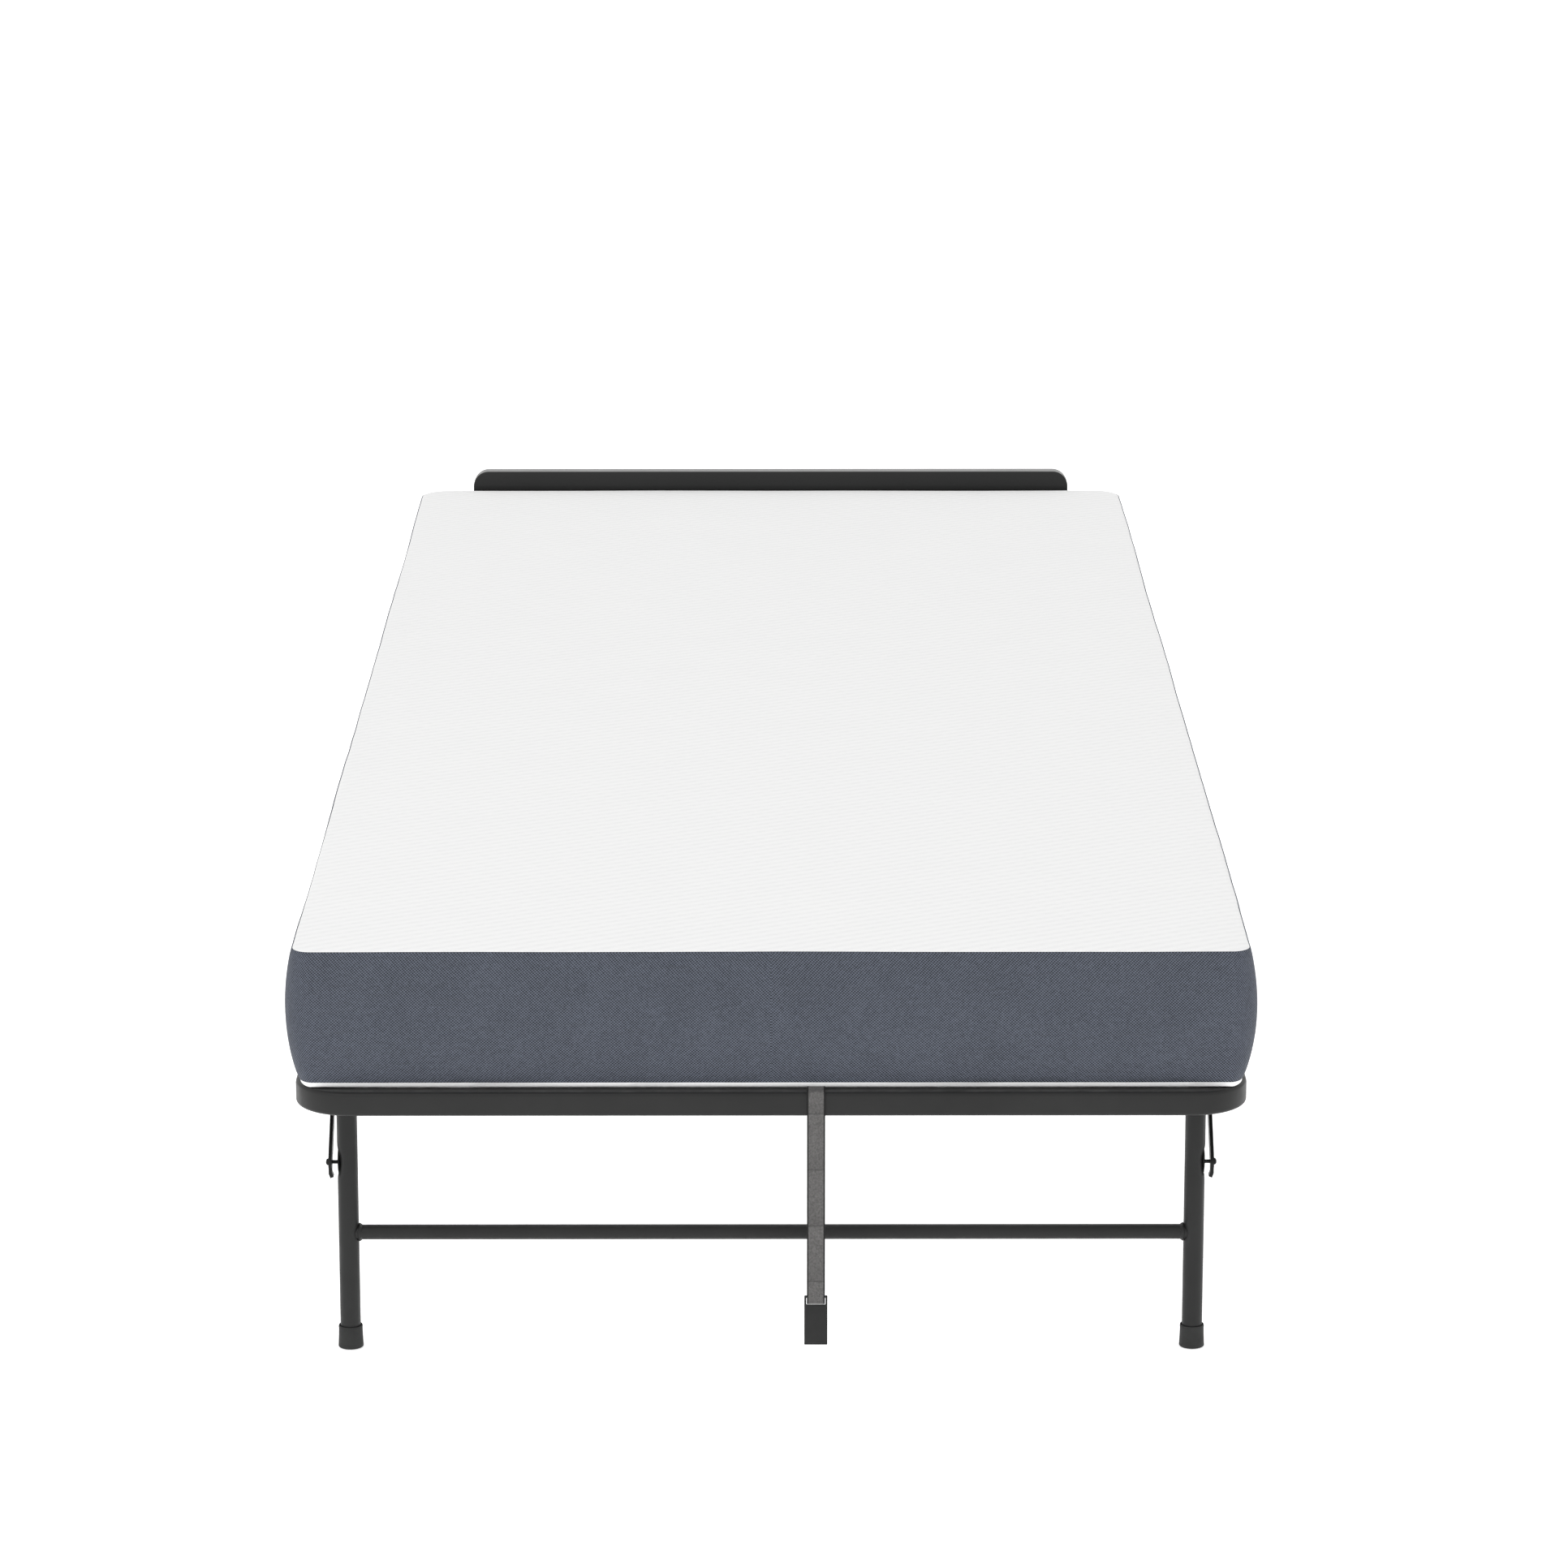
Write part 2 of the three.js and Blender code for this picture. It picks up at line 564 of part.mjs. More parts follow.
// ---- head panel and strap ----
function addHeadPanel() {
  const shape = new THREE.Shape();
  const [x, r] = [PANEL_WIDTH / 2, PANEL_CORNER];
  shape.moveTo(-x, PANEL_BOTTOM);
  shape.lineTo(x, PANEL_BOTTOM);
  shape.absarc(x - r, PANEL_TOP - r, r, 0, Math.PI / 2);
  shape.absarc(-x + r, PANEL_TOP - r, r, Math.PI / 2, Math.PI);
  const panel = plateFacing(shape, PANEL_FRONT, PANEL_THICK);
  const back = PANEL_FRONT + PANEL_THICK;
  const grooveHalf = BAR_WIDTH / 2 + GAP;
  const grooves = [-BAR_X, BAR_X].map((at) =>
    box(at - grooveHalf, at + grooveHalf, HALF_LENGTH, back + 1, PANEL_BOTTOM - 1, BAR_TOP + GAP));
  add("head_panel", cut(panel, ...grooves), panelled);
  for (const [label, side] of [["left", -1], ["right", 1]]) {
    const bar = box(-BAR_WIDTH / 2, BAR_WIDTH / 2, HALF_LENGTH + GAP, HALF_LENGTH + GAP + BAR_THICK,
      RAIL_BOTTOM + 2, BAR_TOP);
    bar.translate(side * BAR_X, 0, 0);
    add(`panel_bar_${label}`, bar, coated);
  }
}

function addStrap() {
  const outer = roundedRectangle(RAIL + 2 * (GAP + STRAP_THICK), RAIL + 2 * (GAP + STRAP_THICK), 3);
  outer.holes.push(roundedRectangle(RAIL + 2 * GAP, RAIL + 2 * GAP, 2));
  const loop = plateAcross(outer, STRAP_X, STRAP_WIDTH, 2);
  loop.translate(0, -HALF_LENGTH + RAIL / 2, RAIL_MID);
  add("strap_loop", loop, webbing);

  const front = -HALF_LENGTH - GAP - STRAP_THICK;
  const [left, right] = [STRAP_X - STRAP_WIDTH / 2, STRAP_X + STRAP_WIDTH / 2];
  add("strap_tail", box(left, right, front, front + STRAP_THICK, STRAP_END_Z, STRAP_FOLD_Z), webbing);

  const plate = roundedRectangle(BUCKLE_WIDTH, BUCKLE_TOP - BUCKLE_BOTTOM, 0.6);
  const middle = (BUCKLE_TOP + BUCKLE_BOTTOM) / 2;
  const slotTop = BUCKLE_TOP - BUCKLE_WALL;
  const slot = roundedRectangle(BUCKLE_WIDTH - 2 * BUCKLE_WALL, slotTop - SLOT_BOTTOM, 0.4);
  const behind = front + STRAP_THICK + GAP;
  const buckle = plateFacing(plate, behind, BUCKLE_THICK, 2);
  buckle.translate(STRAP_X, 0, middle);
  const opening = plateFacing(slot, behind - 1, BUCKLE_THICK + 2, 2);
  opening.translate(STRAP_X, 0, (slotTop + SLOT_BOTTOM) / 2);
  add("strap_buckle", cut(buckle, opening), coated);

  add("strap_hook", strapHook(behind + BUCKLE_THICK + GAP), coated);
}

// The open hook on the buckle's back, which catches the other deck's end rail when the bed is folded.
function strapHook(root) {
  const tip = root + HOOK_DEPTH;
  const hook = new THREE.Shape();
  hook.moveTo(root, HOOK_BOTTOM);
  hook.lineTo(tip, HOOK_BOTTOM);
  hook.lineTo(tip, HOOK_TIP);
  hook.lineTo(tip - HOOK_THICK, HOOK_TIP);
  hook.lineTo(tip - HOOK_THICK, HOOK_BOTTOM + HOOK_THICK);
  hook.lineTo(root + HOOK_THICK, HOOK_BOTTOM + HOOK_THICK);
  hook.lineTo(root + HOOK_THICK, HOOK_TOP);
  hook.lineTo(root, HOOK_TOP);
  return plateAcross(hook, STRAP_X, HOOK_WIDTH);
}

addCenterFrame();
addCasters();
addDeck("foot", -1);
addDeck("head", 1);
addLegs("foot", -1);
addLegs("head", 1);
addHeadPanel();
addStrap();
addMattress();

export default group;
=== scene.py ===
import json
import math

import bmesh
import bpy
import numpy as np
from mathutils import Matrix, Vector, noise


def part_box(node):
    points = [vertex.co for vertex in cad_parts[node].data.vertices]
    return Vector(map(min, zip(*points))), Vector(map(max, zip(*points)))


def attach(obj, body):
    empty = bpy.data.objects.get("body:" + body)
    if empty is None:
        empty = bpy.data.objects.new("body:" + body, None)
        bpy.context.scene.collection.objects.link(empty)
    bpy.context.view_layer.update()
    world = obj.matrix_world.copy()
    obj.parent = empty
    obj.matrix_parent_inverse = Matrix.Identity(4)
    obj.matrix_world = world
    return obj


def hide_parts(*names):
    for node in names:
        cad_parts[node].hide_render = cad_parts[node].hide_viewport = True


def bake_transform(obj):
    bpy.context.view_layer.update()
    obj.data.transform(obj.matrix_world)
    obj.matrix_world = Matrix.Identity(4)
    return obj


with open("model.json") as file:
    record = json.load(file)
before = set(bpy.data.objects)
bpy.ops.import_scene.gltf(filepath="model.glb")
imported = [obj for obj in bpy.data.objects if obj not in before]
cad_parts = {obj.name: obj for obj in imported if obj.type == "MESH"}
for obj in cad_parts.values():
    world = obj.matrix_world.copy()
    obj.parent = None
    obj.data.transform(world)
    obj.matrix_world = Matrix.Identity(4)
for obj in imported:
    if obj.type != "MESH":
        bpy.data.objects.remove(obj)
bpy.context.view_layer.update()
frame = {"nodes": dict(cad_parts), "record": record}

NODES = frame["nodes"]
BODY_OF = {n: b for b, names in frame["record"]["behaviour"]["bodies"].items() for n in names}
SLOT_OF = {s["node"]: s["material_slot"] for s in frame["record"]["subparts"]}
SIDES = {"left": -1, "right": 1}
ENDS = {"foot": -1, "head": 1}

LEG_RADIUS = 0.0085
CROSSBAR_RADIUS = 0.00625
CROSSBAR_Z = 0.100
RIVET_Z = 0.162
DECK_BEND = 0.036  # radius of the deck rail's plan corners, at its middle line
PANEL_CORNER = 0.017
PANEL_EASE = 0.0012  # how much the panel's edges are eased


# ---- camera, floor and light ----
def add_camera():
    data = bpy.data.cameras.new("camera")
    data.sensor_width = 36.0
    data.lens = 133.62
    data.clip_end = 60.0
    camera = bpy.data.objects.new("camera", data)
    camera.location = (-0.0006, -5.5015, 1.6536)
    camera.rotation_euler = (math.radians(90 - 14.26), 0, math.radians(-0.139))
    bpy.context.scene.collection.objects.link(camera)
    bpy.context.scene.camera = camera
    bpy.context.scene.view_settings.view_transform = "Standard"


def add_stage():
    mesh = bpy.data.meshes.new("floor")
    reach = 30.0
    corners = [(-reach, -reach, 0), (reach, -reach, 0), (reach, reach, 0), (-reach, reach, 0)]
    mesh.from_pydata(corners, [], [(0, 1, 2, 3)])
    floor = bpy.data.objects.new("floor", mesh)
    bpy.context.scene.collection.objects.link(floor)
    floor.location.z = -0.0005
    mesh.materials.append(plain_material("floor_white", (0.93, 0.93, 0.93), 0.9, 0.5))

    world = bpy.data.worlds.new("studio")
    bpy.context.scene.world = world
    world.use_nodes = True
    background = world.node_tree.nodes["Background"]
    background.inputs["Color"].default_value = (1, 1, 1, 1)
    background.inputs["Strength"].default_value = 1.0


def add_light(name, place, target, size, power):
    data = bpy.data.lights.new(name, "AREA")
    data.shape = "DISK"
    data.size = size
    data.energy = power
    light = bpy.data.objects.new(name, data)
    light.location = place
    light.rotation_euler = (Vector(target) - Vector(place)).to_track_quat("-Z", "Y").to_euler()
    bpy.context.scene.collection.objects.link(light)


# ---- material building blocks ----
def plain_material(name, colour, roughness, glow=0.0):
    material = bpy.data.materials.new(name)
    material.use_nodes = True
    shader = material.node_tree.nodes["Principled BSDF"]
    shader.inputs["Base Color"].default_value = (*colour, 1)
    shader.inputs["Roughness"].default_value = roughness
    shader.inputs["Emission Color"].default_value = (1, 1, 1, 1)
    shader.inputs["Emission Strength"].default_value = glow
    return material


class Graph:
    """Adds and links the nodes of one material. A bending piece's pattern uses its places at rest."""

    def __init__(self, name, roughness=0.5, metallic=0.0, specular=0.5, sheen=0.0, bends=False):
        self.material = bpy.data.materials.new(name)
        self.material.use_nodes = True
        self.tree = self.material.node_tree
        self.shader = self.tree.nodes["Principled BSDF"]
        self.shader.inputs["Roughness"].default_value = roughness
        self.shader.inputs["Metallic"].default_value = metallic
        self.shader.inputs["Specular IOR Level"].default_value = specular
        self.shader.inputs["Sheen Weight"].default_value = sheen
        if bends:
            self.place = self.node("ShaderNodeAttribute", "Vector", {}, attribute_name="rest_place")
        else:
            self.place = self.tree.nodes.new("ShaderNodeTexCoord").outputs["Object"]

    def put(self, socket, value):
        if hasattr(value, "is_output"):
            self.tree.links.new(value, socket)
        else:
            socket.default_value = value

    def node(self, kind, output, inputs, **settings):
        n = self.tree.nodes.new(kind)
        for key, value in settings.items():
            setattr(n, key, value)
        for key, value in inputs.items():
            self.put(n.inputs[key], value)
        return n.outputs[output]

    def math(self, operation, a, b=0.0, c=0.0):
        return self.node("ShaderNodeMath", 0, {0: a, 1: b, 2: c}, operation=operation)

    def noise(self, scale, detail=3.0, roughness=0.5, vector=None):
        source = self.place if vector is None else vector
        inputs = {"Vector": source, "Scale": scale, "Detail": detail, "Roughness": roughness}
        return self.node("ShaderNodeTexNoise", 0, inputs)

    def axes(self):
        split = self.tree.nodes.new("ShaderNodeSeparateXYZ")
        self.put(split.inputs[0], self.place)
        return split.outputs

    def scaled(self, x, y, z, turn=(0, 0, 0)):
        inputs = {"Vector": self.place, "Scale": (x, y, z), "Rotation": turn}
        return self.node("ShaderNodeMapping", 0, inputs)

    def remap(self, value, low, high, to_low, to_high):
        inputs = {"Value": value, "From Min": low, "From Max": high, "To Min": to_low, "To Max": to_high}
        return self.node("ShaderNodeMapRange", 0, inputs)

    def mix(self, factor, a, b):
        n = self.tree.nodes.new("ShaderNodeMix")
        n.data_type = "RGBA"
        self.put(n.inputs[0], factor)
        self.put(n.inputs[6], (*a, 1) if isinstance(a, tuple) else a)
        self.put(n.inputs[7], (*b, 1) if isinstance(b, tuple) else b)
        return n.outputs[2]

    def bump(self, height, strength, distance, normal=None):
        inputs = {"Height": height, "Strength": strength, "Distance": distance}
        if normal is not None:
            inputs["Normal"] = normal
        return self.node("ShaderNodeBump", 0, inputs)

    def finish(self, colour=None, roughness=None, normal=None):
        for key, value in (("Base Color", colour), ("Roughness", roughness), ("Normal", normal)):
            if value is not None:
                self.put(self.shader.inputs[key], value)
        return self.material


def wave_of(g, coordinate, pitch, phase=0.0):
    """A sine of the coordinate, from -1 to 1, with that pitch in metres."""
    return g.math("SINE", g.math("MULTIPLY_ADD", coordinate, 2 * math.pi / pitch, phase))


# ---- materials ----
def powder_coat():
    g = Graph("powder_coat", specular=0.25)
    colour = (0.0155, 0.0157, 0.0155)
    grain = g.noise(1400, 2.0, 0.6)
    cloud = g.noise(9, 3.0)
    darker = tuple(c * 0.9 for c in colour)
    lighter = tuple(c * 1.12 for c in colour)
    base = g.mix(g.remap(cloud, 0.35, 0.65, 0, 1), darker, lighter)
    roughness = g.remap(g.noise(60, 4.0), 0.3, 0.7, 0.35, 0.48)
    return g.finish(base, roughness, g.bump(grain, 0.25, 0.00012))


def zinc_plate():
    g = Graph("zinc_plate", metallic=0.9)
    streaks = g.noise(180, 4.0, 0.6, g.scaled(1, 1, 0.15))
    base = g.mix(g.remap(streaks, 0.3, 0.7, 0, 1), (0.26, 0.265, 0.27), (0.38, 0.385, 0.39))
    return g.finish(base, g.remap(g.noise(45), 0.3, 0.7, 0.28, 0.45), g.bump(streaks, 0.15, 0.0001))


def dark_steel():
    g = Graph("dark_steel", metallic=0.35, specular=0.25)
    base = g.mix(g.remap(g.noise(70, 4.0), 0.3, 0.7, 0, 1), (0.007, 0.007, 0.007), (0.016, 0.016, 0.016))
    return g.finish(base, g.remap(g.noise(300), 0.3, 0.7, 0.35, 0.5), g.bump(g.noise(900), 0.2, 0.0001))


def moulded_rubber(name, colour):
    g = Graph(name, specular=0.35)
    base = g.mix(g.noise(25, 4.0), tuple(0.85 * c for c in colour), tuple(1.2 * c for c in colour))
    return g.finish(base, g.remap(g.noise(90), 0.3, 0.7, 0.6, 0.75), g.bump(g.noise(1800, 1.0), 0.3, 0.0001))


def panel_laminate():
    """Black laminate faces, and a grey satin edge band all round."""
    g = Graph("panel_laminate", specular=0.3)
    grain = g.noise(700, 3.0, 0.55, g.scaled(0.25, 1, 1))
    face = g.mix(g.remap(g.noise(6), 0.3, 0.7, 0, 1), (0.0125, 0.0127, 0.0125), (0.0155, 0.0157, 0.0155))
    low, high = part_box("head_panel")
    _, y, _ = g.axes()
    depth = g.math("ABSOLUTE", g.math("SUBTRACT", y, (low.y + high.y) / 2))
    edge = g.remap(depth, 0.0080, 0.0084, 1, 0)
    band = g.mix(g.remap(g.noise(90, 3.0, 0.6, g.scaled(0.2, 1, 0.2)), 0.3, 0.7, 0, 1),
                 (0.200, 0.200, 0.198), (0.250, 0.250, 0.248))
    return g.finish(g.mix(edge, face, band), g.remap(grain, 0.3, 0.7, 0.34, 0.5), g.bump(grain, 0.2, 0.0001))


def border_weave():
    """A basket weave: slate and charcoal yarns that cross at 45 degrees, a repeat each 2.3 mm."""
    g = Graph("border_weave", roughness=0.9, specular=0.2, sheen=0.08, bends=True)
    x, y, z = g.axes()
    along = g.math("SUBTRACT", g.math("ABSOLUTE", x), g.math("ABSOLUTE", y))  # runs round every corner
    pitch = 0.0023
    crossed = g.math("MULTIPLY", wave_of(g, along, pitch * 1.12, math.pi / 2), wave_of(g, z, pitch))
    yarn = g.remap(crossed, -0.75, 0.75, 0, 1)
    drift = g.noise(30, 2.0, 0.5)
    yarn_tone = g.math("MULTIPLY_ADD", g.math("SUBTRACT", g.noise(420, 2.0, 0.7), 0.5), 0.7, yarn)
    base = g.mix(g.math("MULTIPLY_ADD", g.math("SUBTRACT", drift, 0.5), 0.16, yarn_tone),
                 (0.017, 0.019, 0.023), (0.132, 0.147, 0.186))
    slub = g.noise(60, 3.0, 0.6, g.scaled(0.35, 0.35, 9))
    tinted = g.mix(g.remap(slub, 0.52, 0.72, 0, 0.30), base, (0.060, 0.064, 0.074))
    weave = g.bump(yarn, 0.55, 0.0005)
    return g.finish(tinted, 0.88, g.bump(g.noise(2200, 2.0), 0.15, 0.0002, weave))


def knit_top():
    """White jersey with rows of small embossed dashes that lean to one side, with painted shade in the low
    rows of the emboss.
    """
    g = Graph("knit_top", roughness=0.95, specular=0.15, sheen=0.05, bends=True)
    x, y, _ = g.axes()
    lean = g.math("MULTIPLY_ADD", x, -0.55, y)
    rows = wave_of(g, lean, 0.0125)
    dashes = wave_of(g, g.math("MULTIPLY_ADD", y, 0.9, x), 0.024)
    emboss = g.math("MULTIPLY", rows, g.remap(dashes, -1, 1, 0.35, 1))
    loops = g.math("MULTIPLY", wave_of(g, x, 0.0016), wave_of(g, y, 0.0021))
    height = g.math("MULTIPLY_ADD", loops, 0.22, emboss)
    # painted shade: the emboss's low rows are coloured darker than its raised ones
    tone = g.remap(emboss, -0.9, 0.5, 0, 1)
    cloud_and_groove_shade = g.math("MULTIPLY_ADD", g.math("SUBTRACT", g.noise(14, 3.0), 0.5), 0.5, tone)
    base = g.mix(cloud_and_groove_shade, (0.798, 0.798, 0.798), (0.840, 0.840, 0.837))
    return g.finish(base, 0.95, g.bump(height, 0.35, 0.0006))


def bottom_cloth():
    g = Graph("bottom_cloth", roughness=0.95, specular=0.15, bends=True)
    x, y, _ = g.axes()
    fibre = g.noise(500, 4.0, 0.6)
    quilt = g.math("MULTIPLY", wave_of(g, x, 0.004), wave_of(g, y, 0.004))
    base = g.mix(g.remap(fibre, 0.3, 0.7, 0, 1), (0.86, 0.86, 0.86), (0.92, 0.92, 0.92))
    return g.finish(base, 0.95, g.bump(g.math("MULTIPLY_ADD", quilt, 0.4, fibre), 0.3, 0.0003))


def strap_webbing():
    """Grey webbing with dark selvages, a fine rib, and every 48 mm a dark line with painted shade fading up
    from it.
    """
    g = Graph("strap_webbing", roughness=0.9, specular=0.2, bends=True)
    x, y, z = g.axes()
    low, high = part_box("strap_tail")
    middle = (low.x + high.x) / 2
    across = g.math("ABSOLUTE", g.math("SUBTRACT", x, middle))
    selvage = g.remap(across, 0.0059, 0.0065, 0, 1)
    run = g.math("SUBTRACT", z, y)
    rib = g.math("MULTIPLY", wave_of(g, run, 0.0011), wave_of(g, x, 0.0014))
    speck = g.noise(650, 4.0, 0.7)
    tone = g.math("MULTIPLY_ADD", rib, 0.2, g.remap(speck, 0.25, 0.75, 0.05, 0.95))
    base = g.mix(tone, (0.060, 0.058, 0.057), (0.182, 0.178, 0.175))
    run_on = g.math("FRACT", g.math("DIVIDE", g.math("SUBTRACT", z, 0.0313), 0.048))
    # painted shade: each band darkens just above its dark line and fades upward
    painted_shade_above_line = g.remap(run_on, 0.0, 0.45, 0.32, 0)
    line = g.remap(run_on, 0.0, 0.03, 0.75, 0)
    lined = g.mix(line, g.mix(painted_shade_above_line, base, (0.070, 0.068, 0.067)), (0.055, 0.055, 0.055))
    edged = g.mix(selvage, lined, (0.018, 0.018, 0.018))
    return g.finish(edged, 0.9, g.bump(rib, 0.5, 0.0002))


# ---- mesh helpers ----
def ring_faces(rings, steps):
    """Quads between closed rings of points, each ring with that many steps."""
    return [(i * steps + k, i * steps + (k + 1) % steps,
             (i + 1) * steps + (k + 1) % steps, (i + 1) * steps + k)
            for i in range(rings - 1) for k in range(steps)]


def end_caps(rings, steps):
    """A flat face on the first ring and one on the last."""
    return [tuple(range(steps)), tuple((rings - 1) * steps + k for k in range(steps))]


def new_object(name, verts, faces, material, smooth_angle=40):
    mesh = bpy.data.meshes.new(name)
    mesh.from_pydata([tuple(v) for v in verts], [], faces)
    bm = bmesh.new()
    bm.from_mesh(mesh)
    bmesh.ops.remove_doubles(bm, verts=bm.verts, dist=1e-6)
    bmesh.ops.recalc_face_normals(bm, faces=bm.faces)
    bm.to_mesh(mesh)
    bm.free()
    obj = bpy.data.objects.new(name, mesh)
    bpy.context.scene.collection.objects.link(obj)
    mesh.materials.append(material)
    shade(mesh, smooth_angle)
    return obj


def shade(mesh, angle):
    """Smooth shading, with the edges sharper than the angle kept sharp."""
    mesh.polygons.foreach_set("use_smooth", [True] * len(mesh.polygons))
    mesh.set_sharp_from_angle(angle=math.radians(angle))


def mark_rest(obj):
    """Stores where each point is at rest, so that a bending piece's pattern bends with it."""
    place = obj.data.attributes.new("rest_place", "FLOAT_VECTOR", "POINT")
    points = np.empty(len(obj.data.vertices) * 3, dtype=np.float32)
    obj.data.vertices.foreach_get("co", points)
    place.data.foreach_set("vector", points)


def keep(obj, body, slot, *nodes):
    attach(obj, body)
    if nodes:
        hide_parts(*nodes)


def swept(name, path, section, material, up=Vector((0, 0, 1))):
    """Sweeps a section along an open planar path. The section's x is sideways and its y is along up."""
    verts = []
    last = len(path) - 1
    for i, p in enumerate(path):
        before = path[i - 1] if i else p
        after = path[i + 1] if i < last else p
        tangent = (after - p).normalized() + (p - before).normalized()
        tangent.normalize()
        side = tangent.cross(up).normalized()
        corner = max(0.3, tangent.dot((after - p).normalized())) if 0 < i < last else 1
        verts += [p + side * (x / corner) + up * y for x, y in section]
    faces = ring_faces(len(path), len(section)) + end_caps(len(path), len(section))
    return new_object(name, verts, faces, material)


def rounded_section(width, height, radius, steps):
    points = []
    for cx, cy, start in ((1, 1, 0), (-1, 1, 90), (-1, -1, 180), (1, -1, 270)):
        for k in range(steps + 1):
            a = math.radians(start + 90 * k / steps)
            points.append((cx * (width / 2 - radius) + radius * math.cos(a),
                           cy * (height / 2 - radius) + radius * math.sin(a)))
    return points


def round_section(radius, steps):
    return [(radius * math.cos(2 * math.pi * k / steps), radius * math.sin(2 * math.pi * k / steps))
            for k in range(steps)]


def turned(name, profile, place, axis, material, steps=48):
    """A lathe shape: profile is (radius, height) pairs along the axis, which starts at place."""
    turn = Vector((0, 0, 1)).rotation_difference(Vector(axis)).to_matrix().to_4x4()
    verts = []
    for r, h in profile:
        for k in range(steps):
            a = 2 * math.pi * k / steps
            verts.append(Vector(place) + turn @ Vector((r * math.cos(a), r * math.sin(a), h)))
    obj = new_object(name, verts, ring_faces(len(profile), steps), material, 35)
    tidy(obj)
    return obj


def tidy(obj):
    """Removes the faces that a profile's points on the axis leave with no area."""
    bm = bmesh.new()
    bm.from_mesh(obj.data)
    bmesh.ops.dissolve_degenerate(bm, edges=bm.edges, dist=1e-7)
    bmesh.ops.recalc_face_normals(bm, faces=bm.faces)
    bm.to_mesh(obj.data)
    bm.free()


def refined(node, material, bevel=0.0005, angle=35):
    """A copy of the CAD node with its flat faces merged, its edges rounded and its curves smooth."""
    obj = bpy.data.objects.new(node + "_fine", NODES[node].data.copy())
    bpy.context.scene.collection.objects.link(obj)
    obj.data.materials.clear()
    obj.data.materials.append(material)
    bm = bmesh.new()
    bm.from_mesh(obj.data)
    bmesh.ops.remove_doubles(bm, verts=bm.verts, dist=1e-6)
    bmesh.ops.dissolve_limit(bm, angle_limit=math.radians(1), verts=bm.verts, edges=bm.edges)
    sharp = [e for e in bm.edges if len(e.link_faces) == 2 and e.calc_face_angle(0) > math.radians(angle)]
    bmesh.ops.bevel(bm, geom=sharp, offset=bevel, segments=2, profile=0.5, affect="EDGES", clamp_overlap=True)
    bmesh.ops.dissolve_degenerate(bm, edges=bm.edges, dist=1e-7)
    bm.to_mesh(obj.data)
    bm.free()
    shade(obj.data, angle)
    keep(obj, BODY_OF[node], SLOT_OF[node], node)


# ---- mattress ----
SEAM_Z = 0.3550
BORDER_BOTTOM = 0.2462
BULGE = 0.0060  # at the ends
SIDE_BULGE = 0.0074
BORDER_STEPS = 20
COLUMNS = 64
ROW_PITCH = 0.011
TOP_HALF_WIDTH = 0.3915
TOP_HALF_LENGTH = 0.9490
CORNER = {"foot": 0.016, "head": 0.028}


def mattress_rows(end):
    """Where the top's rows lie, from the middle of the bed to the end, with the half width at each."""
    r = CORNER[end]
    straight = TOP_HALF_LENGTH - r
    count = round(straight / ROW_PITCH)
    rows = [(straight * i / count, TOP_HALF_WIDTH) for i in range(count + 1)]
    steps = 8
    for k in range(1, steps + 1):
        a = math.pi / 2 * k / steps
        rows.append((straight + r * math.sin(a), TOP_HALF_WIDTH - r + r * math.cos(a)))
    return rows


def border_profile():
    """(outward in x, outward in y, height, kind) up the wall: kind 0 is bottom cloth, 1 border and 2 top.
    The bottom is narrower than the frame, but reaches over the end rail."""
    points = [(-0.0090, 0.0012, 0.24133, 0), (-0.0074, 0.0026, 0.24175, 0), (-0.0062, 0.0036, 0.24240, 0)]
    points += [(-0.0054, 0.0041, 0.2431, 0), (-0.0046, 0.0041, BORDER_BOTTOM - 0.0002, 0)]
    for k in range(BORDER_STEPS + 1):
        t = k / BORDER_STEPS
        belly = math.sin(math.pi * t ** 0.92) ** 0.85
        ease = (1 - t) ** 2
        points.append((SIDE_BULGE * belly - 0.0042 * ease, BULGE * belly + 0.0042 * ease,
                       BORDER_BOTTOM + (SEAM_Z - BORDER_BOTTOM) * t, 1))
    points += [(-0.0004, -0.0004, SEAM_Z + 0.0004, 1), (-0.0010, -0.0010, SEAM_Z + 0.0005, 1)]
    points += [(-0.0012, -0.0012, SEAM_Z + 0.0003, 2), (-0.0016, -0.0016, SEAM_Z + 0.0010, 2)]
    points += [(-0.0027, -0.0027, SEAM_Z + 0.0014, 2)]
    return points


def rise(x, y, half_width):
    """How the top swells between its seams: nearly flat, with slow undulations of the foam."""
    inset = min(half_width - abs(x), TOP_HALF_LENGTH - abs(y))
    crown = 0.0009 * (1 - math.exp(-max(inset, 0) / 0.02))
    slow = 0.00045 * noise.noise(Vector((x * 5, y * 5, 3.1)))
    return crown + slow


def outward_at(seam, sign):
    """The outward direction at each point of the seam."""
    outward = []
    last = len(seam) - 1
    for k, p in enumerate(seam):
        run = (seam[min(k + 1, last)] - seam[max(k - 1, 0)]).normalized()
        if k in (0, last):
            outward.append(Vector((math.copysign(1, p.x), 0, 0)))
        else:
            outward.append(Vector((run.y, -run.x, 0)) * -sign)
    return outward


def wall_point(p, out, level):
    """The seam's point p moved out and up to one level of the profile, with the foam's small waves."""
    ux, uy, h, kind = level
    pucker = 0.00035 * noise.noise(Vector((p.x * 22, p.y * 22, h * 4)))
    sway = 0.0011 * noise.noise(Vector((p.x * 4, p.y * 4, h * 12 + 7))) if kind == 1 else 0
    lift = 0.00045 * noise.noise(Vector((p.x * 7, p.y * 7, 1.7))) if h > 0.35 else 0
    return p + (out * (pucker + sway) + Vector((out.x * ux, out.y * uy, h + lift)))


